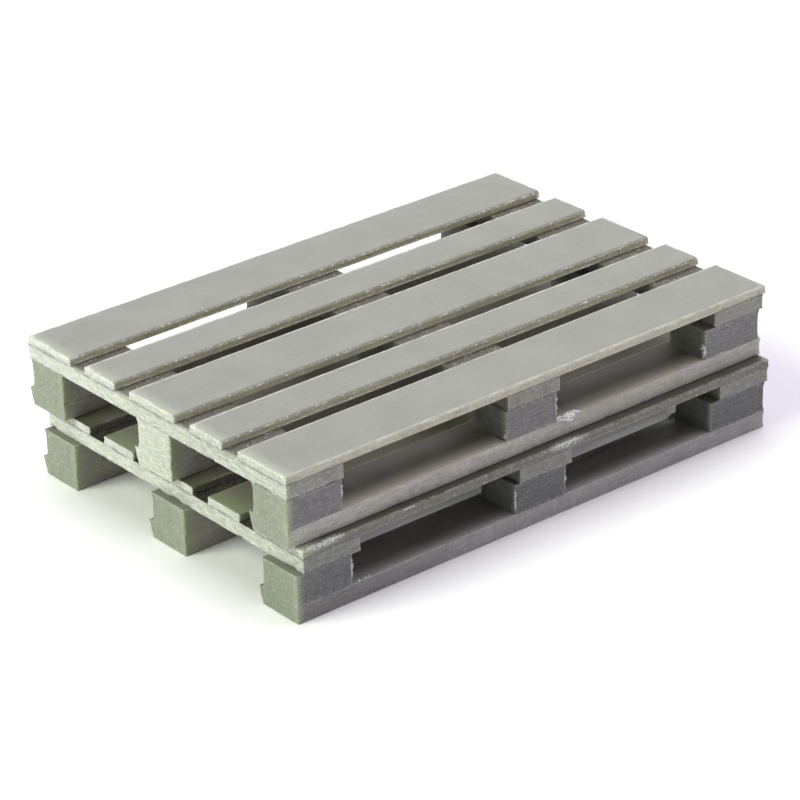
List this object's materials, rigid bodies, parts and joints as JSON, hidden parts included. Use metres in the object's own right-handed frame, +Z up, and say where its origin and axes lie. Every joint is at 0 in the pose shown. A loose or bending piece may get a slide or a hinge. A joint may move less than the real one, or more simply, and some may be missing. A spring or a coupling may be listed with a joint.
{
  "type": "plastic pallet stack",
  "caption": "Stack of plastic-lumber block pallets, each with a slatted deck, cross stringers, blocks, bottom boards and coach screws; the upper pallet lifts off.",
  "frame": {"origin": "on the floor, in the middle of the footprint of the stack", "axes": "+X along the deck boards, towards the right-hand short side; +Y across them, from the front long side to the rear one; +Z up"},
  "size_m": [1.2056, 0.8312, 0.2892],
  "materials": {
    "deck_plastic": "satin grey-green recycled plastic lumber, planed",
    "stringer_plastic": "grey-green recycled plastic lumber, sawn",
    "block_plastic": "grey-green recycled plastic lumber, sawn ends",
    "bottom_plastic": "grey-green recycled plastic lumber, milled",
    "zinc_steel": "zinc-plated steel"
  },
  "bodies": {
    "lower_pallet": {"lower_deck_board_front": "deck_plastic", "lower_deck_board_front_inner": "deck_plastic", "lower_deck_board_centre": "deck_plastic", "lower_deck_board_rear_inner": "deck_plastic", "lower_deck_board_rear": "deck_plastic", "lower_stringer_left": "stringer_plastic", "lower_stringer_middle": "stringer_plastic", "lower_stringer_right": "stringer_plastic", "lower_bottom_board_front": "bottom_plastic", "lower_bottom_board_centre": "bottom_plastic", "lower_bottom_board_rear": "bottom_plastic", "lower_block_front_left": "block_plastic", "lower_block_front_middle": "block_plastic", "lower_block_front_right": "block_plastic", "lower_block_centre_left": "block_plastic", "lower_block_centre_middle": "block_plastic", "lower_block_centre_right": "block_plastic", "lower_block_rear_left": "block_plastic", "lower_block_rear_middle": "block_plastic", "lower_block_rear_right": "block_plastic", "lower_coach_screw_front_left": "zinc_steel", "lower_coach_screw_front_middle": "zinc_steel", "lower_coach_screw_front_right": "zinc_steel", "lower_coach_screw_centre_left": "zinc_steel", "lower_coach_screw_centre_middle": "zinc_steel", "lower_coach_screw_centre_right": "zinc_steel", "lower_coach_screw_rear_left": "zinc_steel", "lower_coach_screw_rear_middle": "zinc_steel", "lower_coach_screw_rear_right": "zinc_steel"},
    "upper_pallet": {"upper_deck_board_front": "deck_plastic", "upper_deck_board_front_inner": "deck_plastic", "upper_deck_board_centre": "deck_plastic", "upper_deck_board_rear_inner": "deck_plastic", "upper_deck_board_rear": "deck_plastic", "upper_stringer_left": "stringer_plastic", "upper_stringer_middle": "stringer_plastic", "upper_stringer_right": "stringer_plastic", "upper_bottom_board_front": "bottom_plastic", "upper_bottom_board_centre": "bottom_plastic", "upper_bottom_board_rear": "bottom_plastic", "upper_block_front_left": "block_plastic", "upper_block_front_middle": "block_plastic", "upper_block_front_right": "block_plastic", "upper_block_centre_left": "block_plastic", "upper_block_centre_middle": "block_plastic", "upper_block_centre_right": "block_plastic", "upper_block_rear_left": "block_plastic", "upper_block_rear_middle": "block_plastic", "upper_block_rear_right": "block_plastic", "upper_coach_screw_front_left": "zinc_steel", "upper_coach_screw_front_middle": "zinc_steel", "upper_coach_screw_front_right": "zinc_steel", "upper_coach_screw_centre_left": "zinc_steel", "upper_coach_screw_centre_middle": "zinc_steel", "upper_coach_screw_centre_right": "zinc_steel", "upper_coach_screw_rear_left": "zinc_steel", "upper_coach_screw_rear_middle": "zinc_steel", "upper_coach_screw_rear_right": "zinc_steel"}
  },
  "joints": [
    {"name": "upper_lift", "type": "slide", "parent": "lower_pallet", "child": "upper_pallet", "axis": [0, 0, 1], "range_m": [0, 0.2]}
  ]
}
